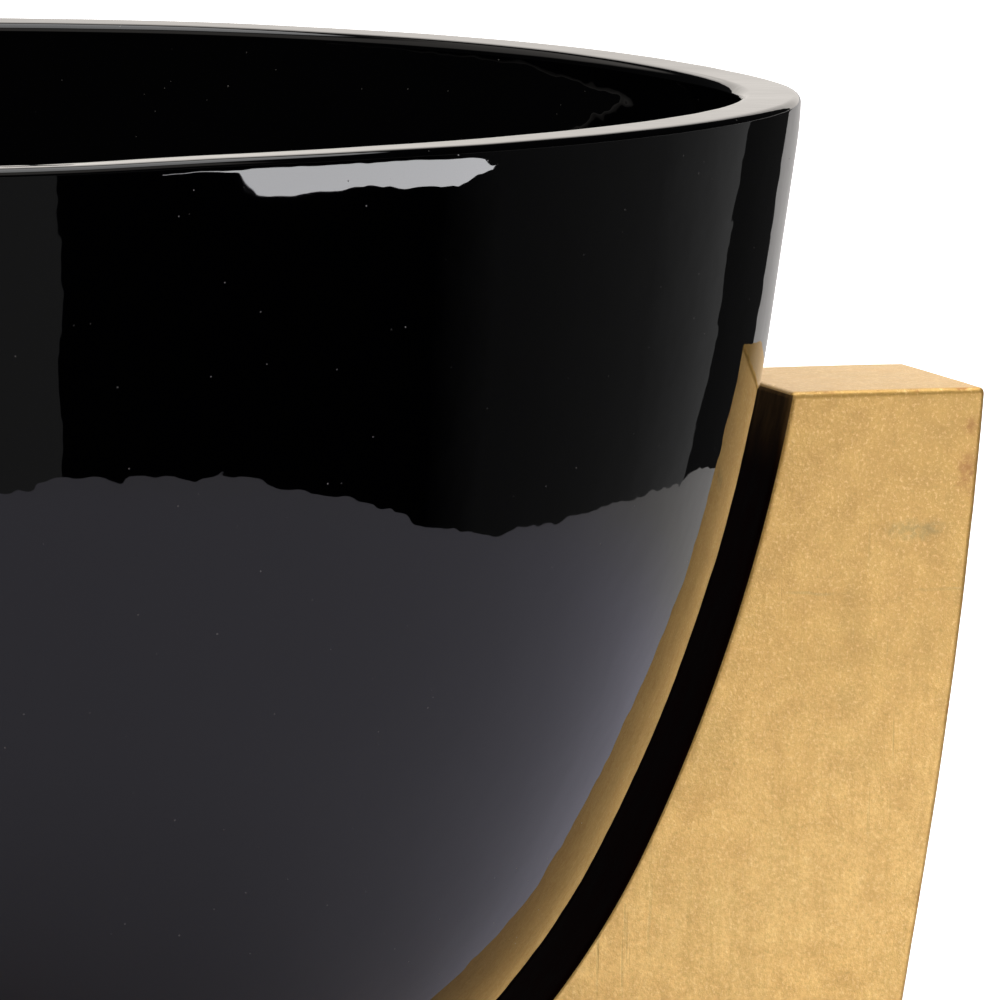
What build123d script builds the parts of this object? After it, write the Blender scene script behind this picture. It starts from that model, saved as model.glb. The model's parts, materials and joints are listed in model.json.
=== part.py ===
from build123d import *
import os
from math import acos, asin, cos, pi, radians, sin, sqrt, tan

# A deep black bowl that rests in a gilded three-legged stand.
# Millimetres, +Z up. The origin is on the bowl's axis, at the level of the table.
# Outlines are drawn in the radial plane: first the distance from the axis, then the height.

# ---- bowl ----
RIM_HEIGHT = 262.0  # table to the rim
RIM_RADIUS = 152.6  # outside of the wall in the rim's plane, before that edge is rounded
WALL = 10.8  # thickness of the wall
LIP_LEAN = 1.0  # degrees by which the wall leans in at the rim
WALL_TAPER = 7.5  # and by which it leans in below the lip
LIP_DEPTH = 9.0  # rim to where the wall becomes straight
STRAIGHT_DEPTH = 40.0  # rim to where the straight wall ends
SIDE_ARC_RADIUS = 304.0  # outside radius of the side below it
SIDE_ARC_END = 26.0  # degrees from vertical where the side meets the round bottom
OUTER_RIM_ROUND = 2.6
INNER_RIM_ROUND = 2.0

# ---- arms ----
ARM_ANGLES = {"front": 270.0, "right": 30.0, "left": 150.0}
ARM_THICKNESS = 40.5
ARM_TOP_DEPTH = 56.5  # rim down to the arm's flat top
ARM_REACH = 192.4  # axis to the outer top edge
ARM_OUTER_ARC = 1140.0  # radius of the gently bowed outer edge
ARM_TOP_SLOPE = 4.2  # degrees by which that edge leans in at the top
BOWL_GAP = 9.2  # bowl to the arm's inner edge
ARM_EDGE_ROUND = 1.0
FOOT_LENGTH = 64.0  # flat of the foot, measured towards the axis

# ---- hub, seat and feet ----
FELT = 2.0
UNDERSIDE = 16.0  # table to the underside of the hub
UNDERSIDE_FLAT = 58.0  # axis to where the arch under the arm starts to drop
HUB_TOP = 40.0
HUB_EDGE_ROUND = 0.6
SEAT_RADIUS = 30.0
SEAT_EDGE_ROUND = 1.0
SEAT_CLEARANCE = 0.3  # felt to bowl
CENTRE_FOOT_RADIUS = 30.0
POCKET_CLEARANCE = 1.0  # round the washer and under the bolt's head
PAD_INSET = 3.0
PAD_CORNER = 5.0

# ---- fastenings ----
FIT = 0.05  # radial clearance of every plain hole
DOWEL_RADIUS = 4.0
DOWEL_LENGTH = 38.0
DOWEL_SPACING = 20.0  # between the two dowels of a joint, side by side
DOWEL_CHAMFER = 0.8
PLATE_THICKNESS = 2.5
PLATE_REACH = 54.0
PLATE_WIDTH = 26.0
PLATE_CORNER = 3.0
SCREW_RADIUS = 2.0
SCREW_HEAD_RADIUS = 3.8
SCREW_HEAD_DEPTH = 2.0
SCREW_LENGTH = 20.0
SCREW_TIP = 4.0
SCREW_DRIVE_RADIUS = 1.5
SCREW_DRIVE_DEPTH = 1.2
ARM_SCREW_REACH = 46.0
HUB_SCREW_REACH = 22.0
BOLT_RADIUS = 4.0
BOLT_LENGTH = 35.0
BOLT_HEAD_FLATS = 13.0
BOLT_HEAD_HEIGHT = 5.3
WASHER_RADIUS = 8.0
WASHER_THICKNESS = 1.6
TEE_FLANGE_RADIUS = 9.0
TEE_FLANGE_THICKNESS = 1.5
TEE_BARREL_RADIUS = 5.0
TEE_BARREL_LENGTH = 7.5
TEE_PRONG = 1.2
TEE_PRONG_LENGTH = 5.0
TEE_PRONG_REACH = 7.4

# ---- worked out from the above ----
FULL_TURN = 360.0
BETWEEN_ARMS = FULL_TURN / len(ARM_ANGLES) / 2  # from an arm to the middle of the gap beside it
ARM_TOP = RIM_HEIGHT - ARM_TOP_DEPTH
HUB_APOTHEM = ARM_THICKNESS * sqrt(3) / 2  # a hexagon whose sides are as wide as an arm
HUB_CORNER = ARM_THICKNESS
PLATE_BOTTOM = UNDERSIDE - PLATE_THICKNESS


def normal(degrees):
    """Outward direction, in the radial plane, of a wall that leans in by this angle."""
    return Vector(cos(radians(degrees)), -sin(radians(degrees)))


LIP_ARC_RADIUS = LIP_DEPTH / (sin(radians(WALL_TAPER)) - sin(radians(LIP_LEAN)))
LIP_CENTRE = Vector(RIM_RADIUS, RIM_HEIGHT) - normal(LIP_LEAN) * LIP_ARC_RADIUS
LIP_END = LIP_CENTRE + normal(WALL_TAPER) * LIP_ARC_RADIUS
STRAIGHT_DROP = STRAIGHT_DEPTH - LIP_DEPTH
STRAIGHT_END = LIP_END - Vector(STRAIGHT_DROP * tan(radians(WALL_TAPER)), STRAIGHT_DROP)
SIDE_CENTRE = STRAIGHT_END - normal(WALL_TAPER) * SIDE_ARC_RADIUS
BOTTOM_START = SIDE_CENTRE + normal(SIDE_ARC_END) * SIDE_ARC_RADIUS
BOTTOM_RADIUS = BOTTOM_START.X / cos(radians(SIDE_ARC_END))
BOTTOM_CENTRE = Vector(0, BOTTOM_START.Y + BOTTOM_RADIUS * sin(radians(SIDE_ARC_END)))


def arc_about(centre, radius, start, end):
    """Arc round a centre in the radial plane, between two lean angles in degrees."""
    at = [centre + normal(angle) * radius for angle in (start, (start + end) / 2, end)]
    return ThreePointArc(*at)


def wall_line(offset):
    """The bowl's profile, moved out by an offset, from the rim's plane to the axis."""
    lip_radius = LIP_ARC_RADIUS + offset
    rim_lean = asin((LIP_CENTRE.Y - RIM_HEIGHT) / lip_radius) * 180 / pi
    lip = arc_about(LIP_CENTRE, lip_radius, rim_lean, WALL_TAPER)
    side = arc_about(SIDE_CENTRE, SIDE_ARC_RADIUS + offset, WALL_TAPER, SIDE_ARC_END)
    bottom = arc_about(BOTTOM_CENTRE, BOTTOM_RADIUS + offset, SIDE_ARC_END, 90.0)
    return [lip, Line(lip @ 1, side @ 0), side, bottom]


def upright(outline):
    """Stand a closed outline up in the radial plane as a face."""
    return Plane.XZ * make_face(outline)


def turned(outline):
    """A solid of revolution from an outline in the radial plane."""
    return revolve(upright(outline), Axis.Z, FULL_TURN)


def at_angle(solid, degrees):
    """Turn a solid made along +X to its place round the axis."""
    return solid.rotate(Axis.Z, degrees)


def hexagon(corner_radius, height, base):
    """Six-sided prism standing on a height."""
    plan = RegularPolygon(corner_radius, 6)
    return Pos(0, 0, base) * extrude(plan, height)


def rod(radius, height, base):
    """Upright cylinder on the axis."""
    return Pos(0, 0, base) * extrude(Circle(radius), height)


# ---- bowl ----
def rim_edges(shell):
    """The round edges in the plane of the rim, smallest first."""
    circles = shell.edges().filter_by(GeomType.CIRCLE)
    at_rim = circles.filter_by(lambda edge: abs(edge.center().Z - RIM_HEIGHT) < FIT)
    return at_rim.sort_by(lambda edge: edge.radius)


def make_bowl():
    outside = wall_line(0.0)
    inside = wall_line(-WALL)
    closing = [
        Line(outside[-1] @ 1, inside[-1] @ 1),
        Line(inside[0] @ 0, outside[0] @ 0),
    ]
    shell = turned(outside + inside + closing)
    shell = fillet(rim_edges(shell)[0], INNER_RIM_ROUND)
    return fillet(rim_edges(shell)[-1], OUTER_RIM_ROUND)


# ---- arms ----
OUTER_CENTRE = Vector(ARM_REACH, ARM_TOP) - normal(ARM_TOP_SLOPE) * ARM_OUTER_ARC
OUTER_END = asin((OUTER_CENTRE.Y - FELT) / ARM_OUTER_ARC) * 180 / pi
FOOT_OUT = OUTER_CENTRE.X + ARM_OUTER_ARC * cos(radians(OUTER_END))
FOOT_IN = FOOT_OUT - FOOT_LENGTH


def arm_outline():
    """The slab's outline: flat top, bowed outer edge, foot, arch and cradle."""
    side_radius = SIDE_ARC_RADIUS + BOWL_GAP
    bottom_radius = BOTTOM_RADIUS + BOWL_GAP
    top_lean = asin((SIDE_CENTRE.Y - ARM_TOP) / side_radius) * 180 / pi
    hub_lean = acos(HUB_APOTHEM / bottom_radius) * 180 / pi
    cradle_side = arc_about(SIDE_CENTRE, side_radius, top_lean, SIDE_ARC_END)
    cradle_bottom = arc_about(BOTTOM_CENTRE, bottom_radius, SIDE_ARC_END, hub_lean)
    outer = arc_about(OUTER_CENTRE, ARM_OUTER_ARC, ARM_TOP_SLOPE, OUTER_END)
    arch = TangentArc((UNDERSIDE_FLAT, UNDERSIDE), (FOOT_IN, FELT), tangent=(1, 0))
    return [
        cradle_side,
        cradle_bottom,
        Line(cradle_bottom @ 1, (HUB_APOTHEM, UNDERSIDE)),
        Line((HUB_APOTHEM, UNDERSIDE), arch @ 0),
        arch,
        Line(arch @ 1, outer @ 1),
        outer,
        Line(outer @ 0, cradle_side @ 0),
    ]


def dowel_rods(radius):
    """Two rods side by side through the joint between an arm and the hub."""
    start = HUB_APOTHEM - DOWEL_LENGTH / 2
    height = (UNDERSIDE + HUB_TOP) / 2
    rods = []
    for offset in (-DOWEL_SPACING / 2, DOWEL_SPACING / 2):
        rod_along_x = Rot(0, 90, 0) * extrude(Circle(radius), DOWEL_LENGTH)
        rods.append(Pos(start, offset, height) * rod_along_x)
    return rods


def screw_hole(reach):
    """Pilot hole for a wood screw at a distance from the axis."""
    return Pos(reach, 0, 0) * rod(SCREW_RADIUS + FIT, SCREW_LENGTH + FIT, PLATE_BOTTOM)


def make_arm():
    slab = extrude(upright(arm_outline()), ARM_THICKNESS / 2, both=True)
    joint_face = slab.faces().filter_by(Axis.X).sort_by(Axis.X)[0]
    kept_sharp = joint_face.edges()
    rounded = [edge for edge in slab.edges() if not any(edge.is_same(e) for e in kept_sharp)]
    slab = fillet(rounded, ARM_EDGE_ROUND)
    for hole in dowel_rods(DOWEL_RADIUS + FIT):
        slab -= hole
    return slab - screw_hole(ARM_SCREW_REACH)


# ---- joint under the bowl ----
def make_hub():
    block = hexagon(HUB_CORNER, HUB_TOP - UNDERSIDE, UNDERSIDE)
    flat_edges = block.edges().filter_by(Plane.XY)
    block = fillet(flat_edges.group_by(Axis.Z)[-1], HUB_EDGE_ROUND)
    block -= rod(BOLT_RADIUS + FIT, HUB_TOP, 0)
    for angle in ARM_ANGLES.values():
        for hole in dowel_rods(DOWEL_RADIUS + FIT):
            block -= at_angle(hole, angle)
        block -= at_angle(screw_hole(HUB_SCREW_REACH), angle + BETWEEN_ARMS)
    return block


def make_dowels(angle):
    pegs = []
    for peg in dowel_rods(DOWEL_RADIUS):
        peg = chamfer(peg.edges().filter_by(GeomType.CIRCLE), DOWEL_CHAMFER)
        pegs.append(at_angle(peg, angle))
    return Compound(pegs)


def make_spider_plate():
    plan = RegularPolygon(HUB_CORNER - PLATE_CORNER, 6)
    for angle in ARM_ANGLES.values():
        bar = Pos(PLATE_REACH / 2, 0) * RectangleRounded(PLATE_REACH, PLATE_WIDTH, PLATE_CORNER)
        plan += Rot(0, 0, angle) * bar
    plate = Pos(0, 0, PLATE_BOTTOM) * extrude(plan, PLATE_THICKNESS)
    plate -= rod(BOLT_RADIUS + FIT, UNDERSIDE, 0)
    for angle in ARM_ANGLES.values():
        plate -= at_angle(countersink(ARM_SCREW_REACH), angle)
        plate -= at_angle(countersink(HUB_SCREW_REACH), angle + BETWEEN_ARMS)
    return plate


def screw_outline(clearance):
    """Half outline of a countersunk screw whose head is flush with the plate."""
    head = SCREW_HEAD_RADIUS + clearance
    shank = SCREW_RADIUS + clearance
    neck = PLATE_BOTTOM + SCREW_HEAD_DEPTH
    tip = PLATE_BOTTOM + SCREW_LENGTH
    return Polyline(
        (0, PLATE_BOTTOM),
        (head, PLATE_BOTTOM),
        (shank, neck),
        (shank, tip - SCREW_TIP),
        (0, tip),
        (0, PLATE_BOTTOM),
    )


def countersink(reach):
    return Pos(reach, 0, 0) * turned(screw_outline(FIT))


def make_screw():
    """Countersunk wood screw with a hexagonal drive."""
    drive = hexagon(SCREW_DRIVE_RADIUS, SCREW_DRIVE_DEPTH, PLATE_BOTTOM)
    return turned(screw_outline(0.0)) - drive


def make_screws(reach, turn):
    screws = []
    for angle in ARM_ANGLES.values():
        screws.append(at_angle(Pos(reach, 0, 0) * make_screw(), angle + turn))
    return Compound(screws)


# ---- seat ----
def dish(offset):
    """Ball that follows the bottom of the bowl at an offset."""
    return Pos(0, 0, BOTTOM_CENTRE.Y) * Sphere(BOTTOM_RADIUS + offset)


TEE_TOP = BOTTOM_CENTRE.Y - BOTTOM_RADIUS - SEAT_CLEARANCE - FELT - FIT
TEE_FLANGE_BOTTOM = TEE_TOP - TEE_FLANGE_THICKNESS


def make_tee_nut():
    nut = rod(TEE_FLANGE_RADIUS, TEE_FLANGE_THICKNESS, TEE_FLANGE_BOTTOM)
    nut += rod(TEE_BARREL_RADIUS, TEE_BARREL_LENGTH, TEE_FLANGE_BOTTOM - TEE_BARREL_LENGTH)
    for turn in range(4):
        prong = Pos(TEE_PRONG_REACH, 0, TEE_FLANGE_BOTTOM - TEE_PRONG_LENGTH / 2) * Box(
            TEE_PRONG, TEE_PRONG * 2, TEE_PRONG_LENGTH
        )
        nut += at_angle(prong, turn * 90)
    return nut - rod(BOLT_RADIUS + FIT, RIM_HEIGHT, 0)


def make_seat_block():
    height = BOTTOM_CENTRE.Y - sqrt((BOTTOM_RADIUS + FELT) ** 2 - SEAT_RADIUS**2) - HUB_TOP
    block = rod(SEAT_RADIUS, height, HUB_TOP)
    block = fillet(block.edges().group_by(Axis.Z)[0], SEAT_EDGE_ROUND)
    block -= dish(SEAT_CLEARANCE + FELT)
    block -= rod(TEE_FLANGE_RADIUS + FIT, RIM_HEIGHT, TEE_FLANGE_BOTTOM)
    block -= rod(TEE_BARREL_RADIUS + FIT, RIM_HEIGHT, HUB_TOP)
    return block - make_tee_nut()


def make_seat_felt():
    lining = rod(SEAT_RADIUS - SEAT_EDGE_ROUND, BOTTOM_CENTRE.Y, HUB_TOP)
    lining &= dish(SEAT_CLEARANCE + FELT - FIT)
    return lining - dish(SEAT_CLEARANCE)


def make_centre_washer():
    ring = rod(WASHER_RADIUS, WASHER_THICKNESS, PLATE_BOTTOM - WASHER_THICKNESS)
    return ring - rod(BOLT_RADIUS + FIT, UNDERSIDE, 0)


def make_centre_bolt():
    head_top = PLATE_BOTTOM - WASHER_THICKNESS
    head = hexagon(BOLT_HEAD_FLATS / sqrt(3), BOLT_HEAD_HEIGHT, head_top - BOLT_HEAD_HEIGHT)
    return head + rod(BOLT_RADIUS, BOLT_LENGTH, head_top)


def make_centre_foot():
    """Turned foot under the hub, hollowed out for the washer and the bolt's head."""
    foot = rod(CENTRE_FOOT_RADIUS, PLATE_BOTTOM - FELT, FELT)
    foot = fillet(foot.edges().group_by(Axis.Z)[0], SEAT_EDGE_ROUND)
    pocket_base = PLATE_BOTTOM - WASHER_THICKNESS - BOLT_HEAD_HEIGHT - POCKET_CLEARANCE
    return foot - rod(WASHER_RADIUS + POCKET_CLEARANCE, PLATE_BOTTOM, pocket_base)


def make_foot_pad():
    length = FOOT_LENGTH - 2 * PAD_INSET
    width = ARM_THICKNESS - 2 * PAD_INSET
    plan = RectangleRounded(length, width, PAD_CORNER)
    return Pos(FOOT_IN + FOOT_LENGTH / 2, 0, 0) * extrude(plan, FELT)


def save(solid, node):
    export_step(solid, os.path.join("parts", node + ".step"))


def main():
    os.makedirs("parts", exist_ok=True)
    save(make_bowl(), "bowl")
    save(make_hub(), "hub_block")
    save(make_seat_block(), "seat_block")
    save(make_seat_felt(), "seat_felt")
    save(make_tee_nut(), "tee_nut")
    save(make_centre_bolt(), "centre_bolt")
    save(make_centre_washer(), "centre_washer")
    save(make_spider_plate(), "spider_plate")
    save(make_centre_foot(), "centre_foot")
    save(rod(CENTRE_FOOT_RADIUS - PAD_INSET, FELT, 0), "foot_pad_centre")
    save(make_screws(ARM_SCREW_REACH, 0), "arm_screws")
    save(make_screws(HUB_SCREW_REACH, BETWEEN_ARMS), "hub_screws")
    arm = make_arm()
    pad = make_foot_pad()
    for side, angle in ARM_ANGLES.items():
        save(at_angle(arm, angle), "arm_" + side)
        save(make_dowels(angle), "dowels_" + side)
        save(at_angle(pad, angle), "foot_pad_" + side)


main()
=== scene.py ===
import json
import math

import bmesh
import bpy
import numpy as np
from mathutils import Matrix, Vector, noise


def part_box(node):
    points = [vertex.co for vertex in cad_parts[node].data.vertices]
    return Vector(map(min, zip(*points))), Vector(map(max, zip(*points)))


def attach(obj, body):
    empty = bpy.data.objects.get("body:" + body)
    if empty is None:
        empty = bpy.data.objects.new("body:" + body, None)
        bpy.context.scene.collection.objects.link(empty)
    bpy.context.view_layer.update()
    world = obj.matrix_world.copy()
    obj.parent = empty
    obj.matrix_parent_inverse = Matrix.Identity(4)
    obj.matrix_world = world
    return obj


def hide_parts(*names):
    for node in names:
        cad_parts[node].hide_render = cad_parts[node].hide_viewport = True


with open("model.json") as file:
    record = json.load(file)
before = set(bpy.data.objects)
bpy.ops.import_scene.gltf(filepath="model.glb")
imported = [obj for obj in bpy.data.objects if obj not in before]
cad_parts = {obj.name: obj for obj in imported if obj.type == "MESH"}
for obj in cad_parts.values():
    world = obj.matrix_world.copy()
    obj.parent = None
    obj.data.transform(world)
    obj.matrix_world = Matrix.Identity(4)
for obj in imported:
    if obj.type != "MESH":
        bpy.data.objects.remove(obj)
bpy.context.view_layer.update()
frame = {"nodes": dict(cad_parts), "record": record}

# Metres and degrees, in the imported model's frame: the origin is on the bowl's axis at table level.
MM = 0.001
STAND, BOWL = "stand", "bowl"

# ---- the bowl's profile, as the CAD model has it ----
RIM_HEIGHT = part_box("bowl")[1].z
RIM_RADIUS = 152.6 * MM
WALL = 10.8 * MM
LIP_LEAN, WALL_TAPER, SIDE_ARC_END = 1.0, 7.5, 26.0
LIP_DEPTH = 9.0 * MM
STRAIGHT_DEPTH = 40.0 * MM
SIDE_ARC_RADIUS = 304.0 * MM
INNER_RIM_ROUND = 2.0 * MM
OUTER_RIM_ROUND = 1.4 * MM  # tighter than the CAD model's 2.6

# ---- the arms, as the CAD model has them ----
ARM_ANGLES = {"arm_front": 270.0, "arm_right": 30.0, "arm_left": 150.0}
MARKED_ARM = "arm_right"
ARM_THICKNESS = 40.5 * MM
ARM_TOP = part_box("arm_front")[1].z
ARM_REACH = 192.4 * MM
ARM_OUTER_ARC = 1140.0 * MM
ARM_TOP_SLOPE = 4.2
BOWL_GAP = 9.2 * MM
EDGE_ROUND = 1.1 * MM  # the CAD model has 1.0
FOOT_LENGTH = 64.0 * MM
FELT = 2.0 * MM
UNDERSIDE = 16.0 * MM
UNDERSIDE_FLAT = 58.0 * MM
HUB_APOTHEM = ARM_THICKNESS * math.sqrt(3) / 2

# ---- what the hand made uneven: heights in millimetres by azimuth from the camera's side ----
RIM_WARP = {
    -20: -2.4, 4: -1.6, 19: -0.15, 40: 0.6, 66: 0.8, 90: 0.0,
    108: -0.5, 131: -0.05, 157: 0.26, 180: 0.0, 225: -0.3, 285: -0.7,
}
RIM_INWARD = {-20: 0.3, 8: 0.3, 45: 0.0, 130: 0.0, 180: 0.15, 270: 0.0}
WARP_DEPTH = 90.0 * MM

# ---- camera ----
CAMERA_AZIMUTH = 14.0  # to the right of straight in front
CAMERA_DISTANCE = 1.8  # from the bowl's axis
CAMERA_ABOVE_RIM = 0.1467
CAMERA_HEADING = -10.80  # from +Y towards +X
CAMERA_PITCH = -6.965
CAMERA_ROLL = 0.76
CAMERA_LENS = 368.0


def normal(degrees):
    """Outward direction, in the radial plane, of a wall that leans in by this angle."""
    return Vector((math.cos(math.radians(degrees)), -math.sin(math.radians(degrees))))


LIP_ARC_RADIUS = LIP_DEPTH / (math.sin(math.radians(WALL_TAPER)) - math.sin(math.radians(LIP_LEAN)))
LIP_CENTRE = Vector((RIM_RADIUS, RIM_HEIGHT)) - normal(LIP_LEAN) * LIP_ARC_RADIUS
LIP_END = LIP_CENTRE + normal(WALL_TAPER) * LIP_ARC_RADIUS
STRAIGHT_DROP = STRAIGHT_DEPTH - LIP_DEPTH
STRAIGHT_END = LIP_END - Vector((STRAIGHT_DROP * math.tan(math.radians(WALL_TAPER)), STRAIGHT_DROP))
SIDE_CENTRE = STRAIGHT_END - normal(WALL_TAPER) * SIDE_ARC_RADIUS
BOTTOM_START = SIDE_CENTRE + normal(SIDE_ARC_END) * SIDE_ARC_RADIUS
BOTTOM_RADIUS = BOTTOM_START.x / math.cos(math.radians(SIDE_ARC_END))
BOTTOM_CENTRE = Vector((0.0, BOTTOM_START.y + BOTTOM_RADIUS * math.sin(math.radians(SIDE_ARC_END))))


def arc_about(centre, radius, start, end, step):
    """Points along an arc in the radial plane, between two lean angles, about a step apart."""
    count = max(2, round(abs(math.radians(end - start)) * radius / step))
    return [centre + normal(start + (end - start) * i / count) * radius for i in range(count + 1)]


def line_between(start, end, step):
    count = max(1, round((end - start).length / step))
    return [start.lerp(end, i / count) for i in range(count + 1)]


def joined(*runs):
    """One list of points from several runs that share their end points."""
    points = list(runs[0])
    for run in runs[1:]:
        points += run[1:]
    return points


def wall_profile(offset, top, step):
    """The bowl's profile, moved out by an offset, from a height near the rim down to the axis."""
    lip_radius = LIP_ARC_RADIUS + offset
    start = math.degrees(math.asin((LIP_CENTRE.y - top) / lip_radius))
    lip = arc_about(LIP_CENTRE, lip_radius, start, WALL_TAPER, step / 2)
    side = arc_about(SIDE_CENTRE, SIDE_ARC_RADIUS + offset, WALL_TAPER, SIDE_ARC_END, step)
    bottom = arc_about(BOTTOM_CENTRE, BOTTOM_RADIUS + offset, SIDE_ARC_END, 90.0, step)
    return joined(lip, line_between(lip[-1], side[0], step), side, bottom)


# ---- small helpers ----
def new_object(name, mesh):
    thing = bpy.data.objects.new(name, mesh)
    bpy.context.scene.collection.objects.link(thing)
    return thing


def mesh_from(name, points, faces, smooth=True):
    mesh = bpy.data.meshes.new(name)
    mesh.from_pydata(points, [], faces)
    mesh.update()
    mesh.polygons.foreach_set("use_smooth", [smooth] * len(mesh.polygons))
    return mesh


def around(azimuth, distance, height):
    """A point by its direction from the bowl's axis: 0 is towards the camera, 90 to its right."""
    angle = math.radians(CAMERA_AZIMUTH + azimuth)
    return Vector((distance * math.sin(angle), -distance * math.cos(angle), height))


def smooth_step(value, low, high):
    t = min(1.0, max(0.0, (value - low) / (high - low)))
    return t * t * (3.0 - 2.0 * t)


def value_round(knots, azimuth):
    """A smooth value all the way round, through a few knots given by azimuth."""
    angles = sorted(knots)
    azimuth = (azimuth - angles[0]) % 360.0 + angles[0]
    i = max(k for k, angle in enumerate(angles) if angle <= azimuth)

    def knot(k):
        return angles[k % len(angles)] + 360.0 * (k // len(angles)), knots[angles[k % len(angles)]]

    before, start, end, after = (knot(i + k) for k in (-1, 0, 1, 2))
    span = end[0] - start[0]
    slope_start = (end[1] - before[1]) / (end[0] - before[0]) * span
    slope_end = (after[1] - start[1]) / (after[0] - start[0]) * span
    t = (azimuth - start[0]) / span
    return (
        start[1] * (2 * t**3 - 3 * t**2 + 1)
        + slope_start * (t**3 - 2 * t**2 + t)
        + end[1] * (3 * t**2 - 2 * t**3)
        + slope_end * (t**3 - t**2)
    )


def wobble(mesh, amplitude, wavelength, seed):
    """Push every point along its normal by smooth noise."""
    normals = [v.normal.copy() for v in mesh.vertices]
    for v, direction in zip(mesh.vertices, normals):
        v.co += direction * amplitude * noise.noise(v.co / wavelength + seed)
    mesh.update()


# ---- the bowl ----
def turned_mesh(name, profile, segments):
    """Surface of revolution from a profile whose first and last points are on the axis."""
    points = [(0.0, 0.0, profile[0].y)]
    for p in profile[1:-1]:
        for i in range(segments):
            angle = 2 * math.pi * i / segments
            points.append((p.x * math.cos(angle), p.x * math.sin(angle), p.y))
    points.append((0.0, 0.0, profile[-1].y))
    last = len(points) - 1
    faces = []
    for i in range(segments):
        j = (i + 1) % segments
        faces.append((0, 1 + j, 1 + i))
        faces.append((last, last - segments + i, last - segments + j))
        for ring in range(len(profile) - 3):
            low = 1 + ring * segments
            high = low + segments
            faces.append((low + i, low + j, high + j, high + i))
    return mesh_from(name, points, faces)


def bowl_profile():
    """Inside from the axis up, over the rim, and down the outside to the axis."""
    step = 2.2 * MM
    outer = wall_profile(0.0, RIM_HEIGHT - OUTER_RIM_ROUND, step)
    inner = wall_profile(-WALL, RIM_HEIGHT - INNER_RIM_ROUND, step)
    outer_lean = math.degrees(math.asin((LIP_CENTRE.y - outer[0].y) / LIP_ARC_RADIUS))
    outer_centre = outer[0] - normal(outer_lean) * OUTER_RIM_ROUND
    inner_centre = inner[0] + normal(0.0) * INNER_RIM_ROUND
    inner_round = arc_about(inner_centre, INNER_RIM_ROUND, -180.0, -90.0, 0.15 * MM)
    outer_round = arc_about(outer_centre, OUTER_RIM_ROUND, -90.0, outer_lean, 0.15 * MM)
    flat = line_between(inner_round[-1], outer_round[0], 1.1 * MM)
    return joined(inner[::-1], inner_round, flat, outer_round, outer)


def warp_rim(mesh):
    """The rim of a bowl made by hand isn't quite level, and its flat tips inward in places."""
    rim_inside = RIM_RADIUS - WALL
    for v in mesh.vertices:
        weight = smooth_step(v.co.z, RIM_HEIGHT - WARP_DEPTH, RIM_HEIGHT - 4.0 * MM)
        if weight == 0.0:
            continue
        azimuth = math.degrees(math.atan2(v.co.x, -v.co.y)) - CAMERA_AZIMUTH
        inward = smooth_step(RIM_RADIUS - math.hypot(v.co.x, v.co.y), 0.0, RIM_RADIUS - rim_inside)
        lift = value_round(RIM_WARP, azimuth) - inward * value_round(RIM_INWARD, azimuth)
        v.co.z += lift * MM * weight
    mesh.update()


def make_bowl():
    mesh = turned_mesh("bowl_glazed", bowl_profile(), 400)
    wobble(mesh, 0.080 * MM, 60.0 * MM, Vector((3.1, 1.7, 0.4)))
    wobble(mesh, 0.045 * MM, 24.0 * MM, Vector((7.3, 2.9, 5.5)))
    wobble(mesh, 0.042 * MM, 11.0 * MM, Vector((2.2, 6.1, 8.7)))
    warp_rim(mesh)
    bowl = new_object("bowl_glazed", mesh)
    bowl.data.materials.append(glaze_material())
    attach(bowl, BOWL)
    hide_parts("bowl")
    return bowl


# ---- the arms ----
def arm_sides():
    """Edges of the slab in the radial plane: the cradle, the underside and the outer edge."""
    step = 2.4 * MM
    side_radius = SIDE_ARC_RADIUS + BOWL_GAP
    bottom_radius = BOTTOM_RADIUS + BOWL_GAP
    top_lean = math.degrees(math.asin((SIDE_CENTRE.y - ARM_TOP) / side_radius))
    hub_lean = math.degrees(math.acos(HUB_APOTHEM / bottom_radius))
    cradle = joined(
        arc_about(BOTTOM_CENTRE, bottom_radius, hub_lean, SIDE_ARC_END, step),
        arc_about(SIDE_CENTRE, side_radius, SIDE_ARC_END, top_lean, step),
    )
    outer_centre = Vector((ARM_REACH, ARM_TOP)) - normal(ARM_TOP_SLOPE) * ARM_OUTER_ARC
    foot_lean = math.degrees(math.asin((outer_centre.y - FELT) / ARM_OUTER_ARC))
    outer = arc_about(outer_centre, ARM_OUTER_ARC, foot_lean, ARM_TOP_SLOPE, step)
    foot_in = outer[0] - Vector((FOOT_LENGTH, 0.0))
    run, drop = foot_in.x - UNDERSIDE_FLAT, UNDERSIDE - foot_in.y
    arch_radius = (run**2 + drop**2) / (2 * drop)
    arch_centre = Vector((UNDERSIDE_FLAT, UNDERSIDE - arch_radius))
    arch_end = -90.0 + math.degrees(math.asin(run / arch_radius))
    under = joined(
        line_between(Vector((HUB_APOTHEM, UNDERSIDE)), Vector((UNDERSIDE_FLAT, UNDERSIDE)), step),
        arc_about(arch_centre, arch_radius, -90.0, arch_end, step),
        line_between(foot_in, outer[0], step),
    )
    return cradle, under, outer


def spread(points, count):
    """The same run of points as a number of evenly spaced ones."""
    lengths = np.cumsum([0.0] + [(b - a).length for a, b in zip(points, points[1:])])
    wanted = np.linspace(0.0, lengths[-1], count)
    xs = np.interp(wanted, lengths, [p.x for p in points])
    ys = np.interp(wanted, lengths, [p.y for p in points])
    return [Vector((x, y)) for x, y in zip(xs, ys)]


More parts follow.
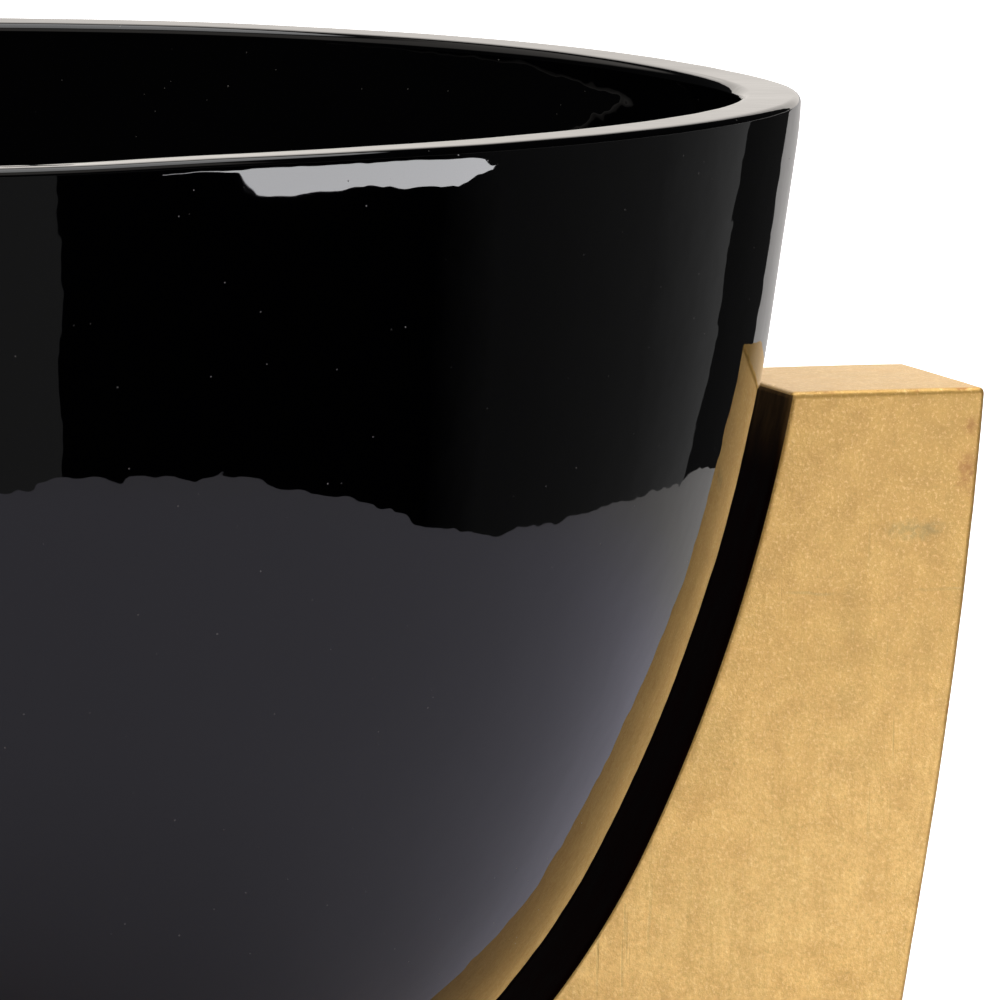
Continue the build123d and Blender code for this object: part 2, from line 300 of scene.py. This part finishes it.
def slab_mesh(name):
    """The arm along +X, as a grid: rows run from the hub to the top, columns from the cradle out."""
    cradle, under, outer = arm_sides()
    under_rows, outer_rows, columns, layers = 56, 90, 26, 18
    low_share = 0.42
    split = round(len(cradle) * low_share)
    inner_line = joined(spread(cradle[: split + 1], under_rows), spread(cradle[split:], outer_rows))
    outer_line = joined(spread(under, under_rows), spread(outer, outer_rows))
    rows = len(inner_line)
    grid = bmesh.new()
    made = {}

    def corner(row, column, layer):
        key = (row, column, layer)
        if key not in made:
            flat = inner_line[row].lerp(outer_line[row], column / columns)
            made[key] = grid.verts.new((flat.x, (layer / layers - 0.5) * ARM_THICKNESS, flat.y))
        return made[key]

    def patch(rows_range, columns_range, place):
        for a in range(rows_range):
            for b in range(columns_range):
                grid.faces.new([place(a, b), place(a + 1, b), place(a + 1, b + 1), place(a, b + 1)])

    patch(rows - 1, columns, lambda a, b: corner(a, b, 0))
    patch(rows - 1, columns, lambda a, b: corner(a, columns - b, layers))
    patch(rows - 1, layers, lambda a, b: corner(a, columns, b))
    patch(rows - 1, layers, lambda a, b: corner(a, 0, layers - b))
    patch(columns, layers, lambda a, b: corner(rows - 1, a, b))
    patch(columns, layers, lambda a, b: corner(0, columns - a, b))
    bmesh.ops.recalc_face_normals(grid, faces=grid.faces)
    mesh = bpy.data.meshes.new(name)
    grid.to_mesh(mesh)
    grid.free()
    return mesh


def round_edges(piece, width, segments):
    """Round the sharp edges, with the result kept in the mesh."""
    bevel = piece.modifiers.new("bevel", "BEVEL")
    bevel.width = width
    bevel.segments = segments
    bevel.limit_method = "ANGLE"
    bevel.angle_limit = math.radians(30)
    settled = piece.evaluated_get(bpy.context.evaluated_depsgraph_get())
    mesh = bpy.data.meshes.new_from_object(settled)
    piece.modifiers.clear()
    piece.data = mesh


def gets_painted_shade(face):
    """Whether a face gets the cradle's painted shade: turned inwards and up, below the gilded top
    edge.
    """
    inwards = face.normal.x < -0.12 and face.normal.z > 0.05 and abs(face.normal.y) < 0.8
    return inwards and face.center.z < ARM_TOP - EDGE_ROUND / 2


def make_arm(name, degrees, leaf, painted_shade, seed):
    """A slab of gessoed and gilded wood, a little uneven, with painted shade on its cradle face."""
    arm = new_object(name + "_gilded", slab_mesh(name + "_gilded"))
    round_edges(arm, EDGE_ROUND, 3)
    wobble(arm.data, 0.20 * MM, 45.0 * MM, Vector((5.0, 2.0, seed)))
    wobble(arm.data, 0.05 * MM, 9.0 * MM, Vector((1.0, seed, 4.0)))
    arm.data.polygons.foreach_set("use_smooth", [True] * len(arm.data.polygons))
    flats = arm.modifiers.new("flats", "WEIGHTED_NORMAL")
    flats.weight = 90
    arm.rotation_euler.z = math.radians(degrees)
    arm.data.materials.clear()
    for material in (leaf, painted_shade):
        arm.data.materials.append(material)
    for face in arm.data.polygons:
        face.material_index = int(gets_painted_shade(face))
    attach(arm, STAND)
    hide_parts(name)
    return arm


# ---- materials ----
class Recipe:
    """A material's nodes, with short calls for the few kinds used here."""

    def __init__(self, name):
        self.material = bpy.data.materials.new(name)
        self.material.use_nodes = True
        self.tree = self.material.node_tree
        self.shader = self.tree.nodes["Principled BSDF"]
        place = self.node("ShaderNodeTexCoord")
        self.place = place.outputs["Object"]
        self.facing = place.outputs["Normal"]

    def node(self, kind, **settings):
        made = self.tree.nodes.new(kind)
        for name, value in settings.items():
            setattr(made, name, value)
        return made

    def put(self, socket, value):
        """Link an output into a socket, or set a plain number or colour on it."""
        if isinstance(value, bpy.types.NodeSocket):
            self.tree.links.new(value, socket)
        else:
            socket.default_value = (*value, 1.0) if isinstance(value, tuple) else value

    def finish(self, **sockets):
        """Fill the shader's sockets, named with _ for each space."""
        for name, value in sockets.items():
            self.put(self.shader.inputs[name.replace("_", " ")], value)
        return self.material

    def math(self, operation, a, b=0.0):
        made = self.node("ShaderNodeMath", operation=operation)
        self.put(made.inputs[0], a)
        self.put(made.inputs[1], b)
        return made.outputs[0]

    def times(self, a, b):
        return self.math("MULTIPLY", a, b)

    def plus(self, a, b):
        return self.math("ADD", a, b)

    def larger(self, a, b):
        return self.math("MAXIMUM", a, b)

    def parts(self, vector):
        split = self.node("ShaderNodeSeparateXYZ")
        self.put(split.inputs[0], vector)
        return split.outputs

    def moved(self, shift=(0.0, 0.0, 0.0), stretch=(1.0, 1.0, 1.0), turn=(0.0, 0.0, 0.0)):
        """The place in the piece, shifted in metres, turned in degrees and stretched."""
        mapping = self.node("ShaderNodeMapping")
        self.put(mapping.inputs["Vector"], self.place)
        mapping.inputs["Location"].default_value = shift
        mapping.inputs["Rotation"].default_value = [math.radians(t) for t in turn]
        mapping.inputs["Scale"].default_value = stretch
        return mapping.outputs["Vector"]

    def noise(self, size, detail=2.0, roughness=0.5, place=None):
        """Smooth noise between 0 and 1, with features about this many metres across."""
        made = self.node("ShaderNodeTexNoise")
        self.put(made.inputs["Vector"], place or self.place)
        made.inputs["Scale"].default_value = 1.0 / size
        made.inputs["Detail"].default_value = detail
        made.inputs["Roughness"].default_value = roughness
        return made.outputs["Fac"]

    def cells(self, size):
        """Scattered points: the distance to the nearest, in cells, and a random colour for each."""
        made = self.node("ShaderNodeTexVoronoi")
        self.put(made.inputs["Vector"], self.place)
        made.inputs["Scale"].default_value = 1.0 / size
        return made.outputs

    def between(self, value, low, high, start=0.0, end=1.0):
        """Smooth change from start to end as the value goes from low to high."""
        made = self.node("ShaderNodeMapRange", interpolation_type="SMOOTHSTEP")
        for socket, number in zip(made.inputs, (value, low, high, start, end)):
            self.put(socket, number)
        return made.outputs[0]

    def mixed(self, amount, a, b):
        made = self.node("ShaderNodeMix", data_type="RGBA")
        for index, value in ((0, amount), (6, a), (7, b)):
            self.put(made.inputs[index], value)
        return made.outputs[2]

    def bump(self, height, distance, below=None):
        made = self.node("ShaderNodeBump")
        made.inputs["Distance"].default_value = distance
        self.put(made.inputs["Height"], height)
        if below is not None:
            self.put(made.inputs["Normal"], below)
        return made.outputs["Normal"]

    def specks(self, size, share, radius):
        """Small round marks in this share of the cells, as a mask."""
        distance, colour = self.cells(size)[:2]
        chosen = self.math("LESS_THAN", self.parts(colour)[0], share)
        return self.times(chosen, self.between(distance, radius * 0.5, radius, 1.0, 0.0))


GLAZE_BLACK, GLAZE_DUST = (0.0003, 0.0003, 0.0005), (0.12, 0.115, 0.11)


def glaze_material():
    """Thick black gloss: almost a mirror, with a fine ripple, dust and lint."""
    recipe = Recipe("black_glaze")
    ripple = recipe.bump(recipe.noise(5.5 * MM, 1.0), 0.034 * MM)
    orange_peel = recipe.bump(recipe.noise(1.6 * MM, 0.0), 0.0004 * MM, ripple)
    dust = recipe.specks(4.2 * MM, 0.7, 0.045)
    lint = recipe.specks(2.6 * MM, 0.25, 0.06)
    marks = recipe.larger(dust, recipe.times(lint, 0.5))
    smear = recipe.between(recipe.noise(38.0 * MM, 3.0), 0.35, 0.8, 0.012, 0.03)
    return recipe.finish(
        Base_Color=recipe.mixed(marks, GLAZE_BLACK, GLAZE_DUST),
        Roughness=recipe.plus(smear, recipe.times(marks, 0.4)),
        IOR=1.5,
        Normal=orange_peel,
    )


GOLD_LIGHT, GOLD_MID, GOLD_DEEP = (0.97, 0.64, 0.215), (0.92, 0.585, 0.18), (0.70, 0.41, 0.10)
# Painted glints: pale specks mixed into the leaf's colour.
GOLD_GLINT = (1.0, 0.73, 0.31)
BOLE, TARNISH, OLIVE = (0.58, 0.24, 0.05), (0.42, 0.32, 0.12), (0.58, 0.40, 0.11)
LEAF_SIZE = 80.0 * MM
BRUSH_LEAN = 38.0  # of the brushed streaks and scratches
# Marks on the arm that shows most: x and z in its own plane, then their reach across and up.
RUBS = ((0.1890, 0.1905, 2.6 * MM, 5.0 * MM), (0.1895, 0.1985, 1.8 * MM, 2.8 * MM))
SMUDGE = (0.1795, 0.1800, 6.5 * MM, 2.6 * MM)


def leaf_laps(recipe, shift):
    """Broken hairlines where the square leaves lap."""
    uneven = recipe.times(recipe.noise(9.0 * MM, 3.0), 2.2 * MM)
    lines = 0.0
    place = recipe.parts(recipe.moved(shift))
    for axis in (place[0], place[2]):
        offset = recipe.plus(axis, uneven)
        away = recipe.math("PINGPONG", offset, LEAF_SIZE / 2)
        line = recipe.between(away, 0.10 * MM, 0.45 * MM, 1.0, 0.0)
        lines = recipe.larger(line, lines)
    present = recipe.between(recipe.noise(14.0 * MM, 1.0), 0.42, 0.6)
    return recipe.times(lines, present)


def patch_at(recipe, x, z, across, up):
    """Soft ragged patch on the face turned to the front, by its place in the arm's own plane."""
    px, py, pz = recipe.parts(recipe.place)
    dx = recipe.math("DIVIDE", recipe.math("SUBTRACT", px, x), across)
    dz = recipe.math("DIVIDE", recipe.math("SUBTRACT", pz, z), up)
    far = recipe.math("SQRT", recipe.plus(recipe.times(dx, dx), recipe.times(dz, dz)))
    ragged = recipe.times(recipe.noise(3.5 * MM, 4.0, 0.65), 1.5)
    mask = recipe.between(recipe.plus(far, ragged), 0.9, 1.9, 1.0, 0.0)
    return recipe.times(mask, recipe.math("LESS_THAN", py, 0.0))


def scratches(recipe, shift):
    """Thin faint lines that all run much the same way."""
    stretched = recipe.moved(shift, (1.0, 1.0, 0.035), (0.0, BRUSH_LEAN, 0.0))
    lines = recipe.between(recipe.noise(1.5 * MM, 2.0, 0.6, stretched), 0.66, 0.74)
    return recipe.times(lines, recipe.between(recipe.noise(22.0 * MM, 1.0), 0.45, 0.62))


def gold_colour(recipe, shift, place, mottle, grain, fine):
    """Colour of unworn leaf: soft clouds, brushed streaks, blotches near the top and a fine grain,
    with painted shade that darkens it towards the arm's top and painted glints as pale specks.
    """
    streaks = recipe.moved(shift, (1.0, 1.0, 0.06), (0.0, BRUSH_LEAN, 0.0))
    stroke = recipe.noise(1.9 * MM, 3.0, 0.65, streaks)
    cloud = recipe.noise(42.0 * MM, 2.0, 0.5, place)
    colour = recipe.mixed(recipe.between(cloud, 0.3, 0.7), GOLD_LIGHT, GOLD_MID)
    colour = recipe.mixed(recipe.between(mottle, 0.42, 0.72, 0.0, 0.45), colour, GOLD_DEEP)
    colour = recipe.mixed(recipe.between(grain, 0.34, 0.72, 0.0, 0.50), colour, GOLD_DEEP)
    height = recipe.parts(recipe.place)[2]
    blotch = recipe.between(recipe.noise(15.0 * MM, 4.0, 0.6, place), 0.42, 0.68)
    blotch = recipe.times(blotch, stroke)
    blotch = recipe.times(blotch, recipe.between(height, 0.10, 0.185, 0.3, 1.0))
    colour = recipe.mixed(blotch, colour, OLIVE)
    colour = recipe.mixed(recipe.between(stroke, 0.52, 0.72, 0.0, 0.3), colour, GOLD_DEEP)
    # Painted shade: the leaf turns towards GOLD_DEEP going up the arm, darker at the top where less
    # light falls on the front face.
    colour = recipe.mixed(recipe.between(height, 0.09, ARM_TOP, 0.0, 0.7), colour, GOLD_DEEP)
    colour = recipe.mixed(recipe.between(fine, 0.28, 0.45, 0.5, 0.0), colour, OLIVE)
    # Painted glints: pale specks where the fine noise is high.
    return recipe.mixed(recipe.between(fine, 0.50, 0.70, 0.0, 0.8), colour, GOLD_GLINT)


def gold_wear(recipe, place, grain, marked):
    """How far the leaf is rubbed through to the bole: at the edges, in pits and at the arm's marks."""
    across = recipe.math("ABSOLUTE", recipe.parts(recipe.facing)[1])
    off_face = recipe.between(across, 0.75, 0.97, 1.0, 0.0)
    edge = recipe.times(recipe.between(across, 0.08, 0.35), off_face)
    rubbed = recipe.times(edge, recipe.between(recipe.noise(5.0 * MM, 4.0, 0.7, place), 0.55, 0.66))
    pits = recipe.specks(4.2 * MM, 0.10, 0.05)
    worn = recipe.larger(recipe.times(rubbed, 0.7), recipe.times(pits, 0.8))
    if marked:
        rub = recipe.larger(patch_at(recipe, *RUBS[0]), patch_at(recipe, *RUBS[1]))
        worn = recipe.larger(worn, recipe.times(rub, recipe.between(grain, 0.35, 0.65, 0.1, 0.6)))
    return worn


def gold_leaf_material(name, shift, marked=False):
    """Gold leaf over red-brown bole: clouded, grained, rubbed at the edges, with laps, painted glints
    and painted shade towards the arm's top.
    """
    recipe = Recipe(name)
    place = recipe.moved(shift)
    mottle = recipe.noise(5.0 * MM, 6.0, 0.72, place)
    grain = recipe.noise(1.1 * MM, 3.0, 0.7, place)
    fine = recipe.noise(0.75 * MM, 4.0, 0.8, place)
    laps = leaf_laps(recipe, shift)
    lines = scratches(recipe, shift)
    worn = gold_wear(recipe, place, grain, marked)
    dulled = recipe.larger(recipe.times(laps, 0.20), recipe.times(lines, 0.20))
    if marked:
        smudge = recipe.times(patch_at(recipe, *SMUDGE), recipe.between(grain, 0.3, 0.6, 0.15, 0.5))
        dulled = recipe.larger(dulled, smudge)
    colour = gold_colour(recipe, shift, place, mottle, grain, fine)
    colour = recipe.mixed(worn, colour, BOLE)
    colour = recipe.mixed(dulled, colour, TARNISH)
    relief = recipe.plus(recipe.times(grain, 0.6), recipe.times(fine, 0.4))
    grained = recipe.bump(relief, 0.12 * MM)
    lapped = recipe.bump(recipe.math("SUBTRACT", 1.0, recipe.larger(laps, lines)), 0.02 * MM, grained)
    return recipe.finish(
        Base_Color=colour,
        Metallic=recipe.between(worn, 0.0, 1.0, 0.9, 0.75),
        Roughness=recipe.plus(recipe.between(mottle, 0.3, 0.7, 0.50, 0.60), recipe.times(worn, 0.15)),
        Coat_Weight=0.6,
        Coat_Roughness=0.34,
        Coat_Normal=lapped,
        Normal=lapped,
    )


# Painted shade for the cradle faces in near-black red-brown, and painted light as a gold tint near
# their top.
PAINTED_SHADE_DARK, PAINTED_SHADE_RED, PAINTED_LIGHT_GOLD = (0.006, 0.0007, 0.0006), (0.013, 0.002, 0.0015), (0.30, 0.17, 0.06)
PAINTED_LIGHT_DEPTH = 16.0 * MM


def cradle_shade_material():
    """Painted shade in dark red-brown on the faces turned to the bowl, with painted light as a gold
    tint near the top.
    """
    recipe = Recipe("cradle_painted_shade")
    streaks = recipe.noise(4.0 * MM, 3.0, 0.6, recipe.moved(stretch=(1.0, 1.0, 0.25)))
    # Painted light: a gold tint that fades downwards from the arm's top over the cradle face.
    high = recipe.between(recipe.parts(recipe.place)[2], ARM_TOP - PAINTED_LIGHT_DEPTH, ARM_TOP + 2.0 * MM)
    lit_near_top = recipe.times(high, recipe.between(streaks, 0.35, 0.7, 0.25, 0.7))
    colour = recipe.mixed(recipe.between(streaks, 0.3, 0.7), PAINTED_SHADE_DARK, PAINTED_SHADE_RED)
    return recipe.finish(
        Base_Color=recipe.mixed(lit_near_top, colour, PAINTED_LIGHT_GOLD),
        Roughness=recipe.between(streaks, 0.3, 0.7, 0.7, 0.85),
        Specular_IOR_Level=0.05,
        Normal=recipe.bump(streaks, 0.05 * MM),
    )


BEECH_PALE, BEECH_BROWN, BEECH_FLECK = (0.62, 0.42, 0.26), (0.50, 0.31, 0.17), (0.30, 0.16, 0.08)
ZINC_PALE, ZINC_DULL = (0.60, 0.61, 0.62), (0.42, 0.43, 0.43)
FELT_DARK, FELT_FIBRE = (0.030, 0.027, 0.025), (0.11, 0.10, 0.095)


def beech_material():
    """Raw beech: long faint grain with the short dark flecks of its rays."""
    recipe = Recipe("beech")
    grain = recipe.noise(1.6 * MM, 4.0, 0.6, recipe.moved(stretch=(0.08, 1.0, 1.0)))
    flecks = recipe.noise(0.7 * MM, 1.0, 0.5, recipe.moved(stretch=(0.3, 1.0, 1.0)))
    colour = recipe.mixed(recipe.between(grain, 0.3, 0.7), BEECH_PALE, BEECH_BROWN)
    return recipe.finish(
        Base_Color=recipe.mixed(recipe.between(flecks, 0.62, 0.72, 0.0, 0.6), colour, BEECH_FLECK),
        Roughness=recipe.between(grain, 0.2, 0.8, 0.5, 0.68),
        Normal=recipe.bump(grain, 0.08 * MM),
    )


def zinc_material():
    """Zinc plate on steel: grey, faintly mottled, with fine tool marks."""
    recipe = Recipe("zinc_steel")
    bloom = recipe.noise(3.5 * MM, 4.0, 0.65)
    marks = recipe.noise(0.35 * MM, 1.0, 0.5, recipe.moved(stretch=(1.0, 1.0, 0.1)))
    return recipe.finish(
        Base_Color=recipe.mixed(recipe.between(bloom, 0.35, 0.7), ZINC_PALE, ZINC_DULL),
        Metallic=1.0,
        Roughness=recipe.between(bloom, 0.3, 0.8, 0.28, 0.5),
        Normal=recipe.bump(marks, 0.01 * MM),
    )


def felt_material():
    """Pressed wool felt, nearly black, with paler fibres."""
    recipe = Recipe("felt")
    tufts = recipe.noise(1.3 * MM, 4.0, 0.7)
    combed = recipe.moved(stretch=(0.35, 1.0, 1.0), turn=(0.0, 0.0, 35.0))
    fibres = recipe.noise(0.35 * MM, 2.0, 0.6, combed)
    return recipe.finish(
        Base_Color=recipe.mixed(recipe.between(fibres, 0.5, 0.75), FELT_DARK, FELT_FIBRE),
        Roughness=0.95,
        Sheen_Weight=0.3,
        Normal=recipe.bump(recipe.plus(tufts, fibres), 0.25 * MM),
    )


def finish_cad_nodes():
    """Every CAD node that still shows gets the finish of its slot in the record."""
    looks = {
        "gold_leaf": gold_leaf_material("gold_leaf_hub", (0.4, 0.1, 0.2)),
        "beech": beech_material(),
        "zinc_steel": zinc_material(),
        "felt": felt_material(),
    }
    for part in frame["record"]["subparts"]:
        node = frame["nodes"][part["node"]]
        look = looks.get(part["material_slot"])
        if look and not node.hide_render:
            node.data.materials.clear()
            node.data.materials.append(look)


# ---- stage: azimuths are degrees from the camera's side, and distances are from the bowl's axis ----
FLOOR_NEAR, FLOOR_FAR, FLOOR_SEEN = (0.63, 0.615, 0.74), (0.50, 0.485, 0.48), (0.62, 0.61, 0.62)
FLOOR_LIT_FROM, FLOOR_LIT_FULLY = 0.5, 0.72
FLOOR_HALF = 60.0
CARD_HEIGHT = 3.0 * MM
SHEET_EDGE = {
    0: 0.524, 9: 0.528, 17: 0.550, 25: 0.566, 36: 0.570, 47: 0.557, 54: 0.548, 62: 0.534,
    72: 0.526, 83: 0.554, 92: 0.580, 106: 0.653, 114: 0.711, 124: 0.784, 150: 1.05, 180: 1.15,
}
DARK_FLOOR_END = 12.0
ZONE_STEP = 0.6
# The white back starts at these azimuths, next to the sheet and at the dark floor's end.
BACKDROP_NEAR, BACKDROP_FAR = 145.0, 157.0
STRIP_START, STRIP_THICK, STRIP_END = 27.0, 40.2, 72.5
STRIP_DISTANCE = 1.0
STRIP_TOP, STRIP_BOTTOM = 0.136, 0.010
STRIP_STEPS = 240
STRIP_STRENGTH = 10.0
DIM_ROOM = 0.012
WARM_WHITE, PLAIN_WHITE, COOL_WHITE = (1.0, 0.945, 0.885), (1.0, 1.0, 1.0), (0.97, 0.97, 1.0)


def glow_material(name, colour=PLAIN_WHITE, strength=1.0):
    """Light whose strength is multiplied by what the mesh gives as glow."""
    recipe = Recipe(name)
    recipe.tree.nodes.remove(recipe.shader)
    glow = recipe.node("ShaderNodeAttribute", attribute_name="glow")
    shader = recipe.node("ShaderNodeEmission")
    recipe.put(shader.inputs["Color"], colour)
    recipe.put(shader.inputs["Strength"], recipe.times(glow.outputs["Fac"], strength))
    output = recipe.tree.nodes["Material Output"]
    recipe.tree.links.new(shader.outputs["Emission"], output.inputs["Surface"])
    return recipe.material


def card(name, columns, material):
    """Card seen only in reflections, from columns of (one point, the other, how much it glows)."""
    points, glows = [], []
    for low, high, glow in columns:
        points += [low, high]
        glows += [glow, glow]
    faces = [(2 * i, 2 * i + 1, 2 * i + 3, 2 * i + 2) for i in range(len(columns) - 1)]
    mesh = mesh_from(name, points, faces, False)
    mesh.attributes.new("glow", "FLOAT", "POINT").data.foreach_set("value", glows)
    made = new_object(name, mesh)
    made.data.materials.append(material)
    made.visible_camera = False
    made.visible_shadow = False
    made.visible_diffuse = False
    made.visible_transmission = False
    return made


def sheet_edge(azimuth):
    """How far the pale sheet under the object reaches: rounded in front, straight at the sides."""
    ragged = 0.004 * noise.noise(Vector((azimuth / 7.0, 4.2, 0.0)))
    ragged += 0.003 * noise.noise(Vector((azimuth / 2.5, 9.1, 0.0)))
    return value_round(SHEET_EDGE, abs(azimuth)) + ragged


def make_dark_floor(material):
    """The studio's dark floor beyond the pale sheet, in zones as the glaze mirrors them."""
    # For each: from which azimuth, to which, and how much it glows at either.
    zones = [
        (0.0, 15.8, 0.17, 0.19), (15.8, 65.0, 0.0, 0.0), (65.0, 75.0, 0.0, 0.06),
        (75.0, 105.0, 0.06, 0.09), (105.0, 124.5, 0.09, 0.20), (124.5, BACKDROP_NEAR, 0.02, 0.02),
    ]
    for side, word in ((1.0, "right"), (-1.0, "left")):
        for number, (start, end, low, high) in enumerate(zones):
            steps = max(2, round((end - start) / ZONE_STEP))
            columns = []
            for i in range(steps + 1):
                azimuth = side * (start + (end - start) * i / steps)
                glow = low + (high - low) * i / steps
                edge = around(azimuth, sheet_edge(azimuth), CARD_HEIGHT)
                fan = side * (BACKDROP_FAR - BACKDROP_NEAR) * smooth_step(abs(azimuth), 95.0, 124.5)
                columns.append((edge, around(azimuth + fan, DARK_FLOOR_END, CARD_HEIGHT), glow))
            card(f"floor_zone_{word}_{number}", columns, material)


def make_strip_light(material):
    """Low bright strip to the right of the camera, mirrored just under the rim."""
    columns = []
    for i in range(STRIP_STEPS + 1):
        azimuth = STRIP_START + (STRIP_END - STRIP_START) * i / STRIP_STEPS
        along = (azimuth - STRIP_THICK) / (STRIP_END - STRIP_THICK)
        top = STRIP_TOP + 0.003 * smooth_step(along, 0.0, 0.4) - 0.036 * smooth_step(along, 0.90, 1.0)
        bottom = STRIP_BOTTOM + 0.022 * smooth_step(along, 0.05, 0.5)
        bottom += 0.060 * smooth_step(along, 0.84, 1.0)
        bottom += 0.006 * noise.noise(Vector((azimuth / 2.3, 1.3, 0.0)))
        depth = 0.03 + 0.12 * smooth_step(azimuth, 31.0, 37.5)
        depth += 0.85 * smooth_step(azimuth, 36.4, STRIP_THICK)
        low = top + (min(bottom, top) - top) * depth
        ends = [around(azimuth, STRIP_DISTANCE, height) for height in (low, top)]
        columns.append((*ends, 1.0))
    card("strip_light", columns, material)


def make_floor():
    """Pale floor that brightens away from the object, as a lit sweep does."""
    corners = [(x * FLOOR_HALF, y * FLOOR_HALF, 0) for x, y in ((-1, -1), (1, -1), (1, 1), (-1, 1))]
    floor = new_object("floor", mesh_from("floor", corners, [(0, 1, 2, 3)], False))
    recipe = Recipe("pale_floor")
    x, y = recipe.parts(recipe.place)[:2]
    away = recipe.math("SQRT", recipe.plus(recipe.times(x, x), recipe.times(y, y)))
    lit = recipe.between(away, FLOOR_LIT_FROM, FLOOR_LIT_FULLY)
    seen = recipe.node("ShaderNodeLightPath").outputs["Is Camera Ray"]
    mirrored = recipe.mixed(lit, FLOOR_NEAR, FLOOR_FAR)
    material = recipe.finish(
        Base_Color=recipe.mixed(seen, mirrored, FLOOR_SEEN),
        Roughness=0.85,
        Emission_Color=PLAIN_WHITE,
        Emission_Strength=recipe.times(lit, recipe.between(seen, 0.0, 1.0, 0.08, 1.2)),
    )
    floor.data.materials.append(material)


def make_world():
    """White to the camera. To everything else: a white back, soft boxes and a dim room."""
    world = bpy.data.worlds.new("studio")
    bpy.context.scene.world = world
    world.use_nodes = True
    tree = world.node_tree
    recipe = Recipe.__new__(Recipe)  # only for its short calls: a world has no material of its own
    recipe.tree = tree
    direction = recipe.node("ShaderNodeTexCoord").outputs["Generated"]

    def along(vector):
        made = recipe.node("ShaderNodeVectorMath", operation="DOT_PRODUCT")
        recipe.put(made.inputs[0], direction)
        made.inputs[1].default_value = vector
        return made.outputs["Value"]

    to_camera, to_right = along(around(0.0, 1.0, 0.0)), along(around(90.0, 1.0, 0.0))
    height = recipe.math("ARCSINE", along((0.0, 0.0, 1.0)))
    elevation = recipe.times(height, math.degrees(1.0))
    azimuth = recipe.times(recipe.math("ARCTAN2", to_right, to_camera), math.degrees(1.0))

    def window(azimuths, elevations, soft, strength):
        """Soft-edged lit window between two azimuths and two elevations."""
        lit = strength
        for value, (low, high) in ((azimuth, azimuths), (elevation, elevations)):
            lit = recipe.times(lit, recipe.between(value, low - soft, low + soft))
            lit = recipe.times(lit, recipe.between(value, high - soft, high + soft, 1.0, 0.0))
        return lit

    def direct_only(lit):
        """Weaker for light that has met two surfaces, which keeps the inside of the bowl dark."""
        depth = recipe.node("ShaderNodeLightPath").outputs["Ray Depth"]
        return recipe.times(lit, recipe.between(depth, 1.4, 1.6, 1.0, 0.25))

    def sum_of(parts):
        total = parts[0]
        for lit in parts[1:]:
            total = recipe.plus(total, lit)
        return total

    behind = 200.0  # past 180 degrees, so that a window has no soft edge straight behind
    white_back = [
        window((BACKDROP_FAR, behind), (-10.0, 50.0), 0.4, 0.95),
        window((-behind, -168.0), (-10.0, 50.0), 0.4, 0.95),
    ]
    its_middle = [
        window((167.0, behind), (13.0, 46.0), 3.0, 0.5),
        window((-behind, -172.0), (13.0, 46.0), 3.0, 0.5),
    ]
    front_box = direct_only(window((-150.0, 45.0), (24.0, 54.0), 5.0, 2.1))
    overhead_box = window((-behind, behind), (60.0, 100.0), 1.5, 3.0)
    warm = sum_of([*white_back, *its_middle, front_box])
    plain = sum_of([DIM_ROOM, overhead_box])
    lights = []
    for strength, colour in ((warm, WARM_WHITE), (plain, PLAIN_WHITE)):
        background = recipe.node("ShaderNodeBackground")
        recipe.put(background.inputs["Color"], colour)
        recipe.put(background.inputs["Strength"], strength)
        lights.append(background.outputs[0])
    room = recipe.node("ShaderNodeAddShader")
    chosen = recipe.node("ShaderNodeMixShader")
    white = tree.nodes["Background"]
    recipe.put(white.inputs["Color"], PLAIN_WHITE)
    recipe.put(room.inputs[0], lights[0])
    recipe.put(room.inputs[1], lights[1])
    recipe.put(chosen.inputs[0], recipe.node("ShaderNodeLightPath").outputs["Is Camera Ray"])
    recipe.put(chosen.inputs[1], room.outputs[0])
    recipe.put(chosen.inputs[2], white.outputs[0])
    recipe.put(tree.nodes["World Output"].inputs["Surface"], chosen.outputs[0])


def make_stage():
    make_floor()
    make_world()
    make_dark_floor(glow_material("dark_room"))
    make_strip_light(glow_material("strip_light", COOL_WHITE, STRIP_STRENGTH))
    bpy.context.scene.view_settings.view_transform = "Standard"


def make_camera():
    data = bpy.data.cameras.new("camera")
    data.lens = CAMERA_LENS
    data.sensor_width = 36.0
    data.clip_end = 100.0
    camera = new_object("camera", data)
    turn = Matrix.Rotation(math.radians(-CAMERA_HEADING), 4, "Z")
    tilt = Matrix.Rotation(math.radians(90.0 + CAMERA_PITCH), 4, "X")
    roll = Matrix.Rotation(math.radians(CAMERA_ROLL), 4, "Z")
    place = Matrix.Translation(around(0.0, CAMERA_DISTANCE, RIM_HEIGHT + CAMERA_ABOVE_RIM))
    camera.matrix_world = place @ turn @ tilt @ roll
    bpy.context.scene.camera = camera


make_camera()
make_stage()
make_bowl()
# Painted shade for the cradle faces, shared by the three arms.
painted_shade = cradle_shade_material()
for number, (arm_name, arm_angle) in enumerate(ARM_ANGLES.items()):
    shift = (0.11 * number, 0.03, 0.07 * number)
    leaf = gold_leaf_material("gold_leaf_" + arm_name, shift, arm_name == MARKED_ARM)
    make_arm(arm_name, arm_angle, leaf, painted_shade, 3.0 + number)
finish_cad_nodes()
